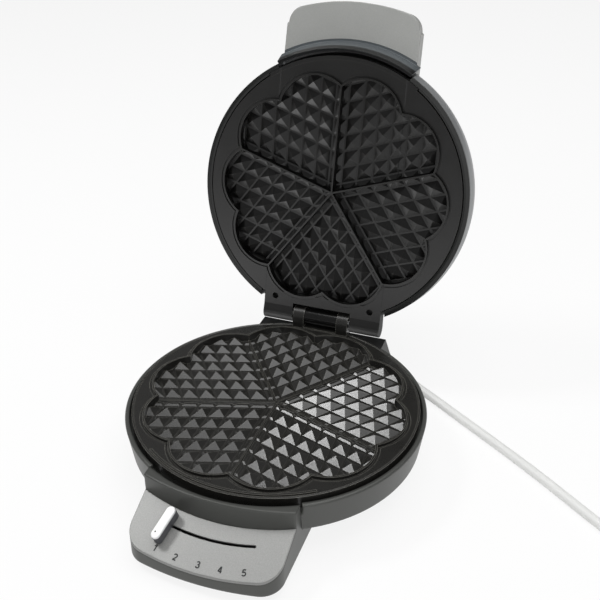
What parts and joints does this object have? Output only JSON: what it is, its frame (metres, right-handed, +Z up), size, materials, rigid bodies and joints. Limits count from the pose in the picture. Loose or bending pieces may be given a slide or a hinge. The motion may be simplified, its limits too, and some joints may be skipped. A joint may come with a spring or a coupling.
{
  "type": "heart waffle maker",
  "caption": "Round electric waffle maker standing open, with heart-shaped grids, a rear hinge, a front handle and a sliding temperature lever.",
  "frame": {"origin": "middle of the footprint of the open appliance without its cord, on the table", "axes": "+Z up, the handles towards -Y, the hinge towards +Y, +X to the right"},
  "size_m": [0.4147, 0.2737, 0.2459],
  "materials": {
    "grid_coat": "satin non-stick coating on cast aluminium",
    "body_grey": "satin metallic lacquer over plastic",
    "ring_grey": "satin metallic lacquer over plastic",
    "handle_grey": "smooth, slightly glossy",
    "panel_silver": "fine brushed, satin",
    "black_plastic": "smooth",
    "cord_grey": "smooth, matt",
    "plug_grey": "smooth",
    "pin_brass": "polished, nickel tint",
    "ceramic": "unglazed ceramic",
    "lever_white": "glossy",
    "lever_grey": "smooth",
    "bright_steel": "polished",
    "heater_steel": "drawn tube, dull",
    "plated_steel": "zinc plated",
    "hinge_black": "black enamelled steel, glossy",
    "foot_rubber": "matt"
  },
  "bodies": {
    "base": {"lower_plate": "grid_coat", "base_shell": "body_grey", "base_nose": "body_grey", "control_panel": "panel_silver", "thermostat": "plated_steel", "thermostat_bracket": "plated_steel", "spindle_clip": "plated_steel", "lower_heater": "heater_steel", "lower_reflector": "plated_steel", "rear_housing": "black_plastic", "bottom_cover": "black_plastic", "foot_front_left": "foot_rubber", "foot_front_right": "foot_rubber", "foot_rear_left": "foot_rubber", "foot_rear_right": "foot_rubber", "cover_screws": "plated_steel", "hinge_pin": "bright_steel", "hinge_sleeve": "hinge_black", "terminal_block": "black_plastic", "thermal_fuse": "ceramic", "strain_relief": "cord_grey", "cord": "cord_grey", "cord_coil": "cord_grey", "plug_body": "plug_grey", "plug_pins": "pin_brass"},
    "lid": {"upper_plate": "grid_coat", "lid_shell": "body_grey", "lid_ring": "ring_grey", "lid_handle": "handle_grey", "upper_heater": "heater_steel", "upper_reflector": "plated_steel", "plate_screws": "plated_steel"},
    "lever": {"lever_cap": "lever_white", "lever_skirt": "lever_grey", "lever_arm": "plated_steel"}
  },
  "joints": [
    {"name": "lid_hinge", "type": "hinge", "parent": "base", "child": "lid", "pos_m": [0, 0.0691, 0.04775], "axis": [-1, 0, 0], "range_deg": [-103.1, 0]},
    {"name": "temperature_lever", "type": "hinge", "parent": "base", "child": "lever", "pos_m": [0, 0.01076, 0.01448], "axis": [0, -0.4104, 0.9119], "range_deg": [0, 22]}
  ]
}
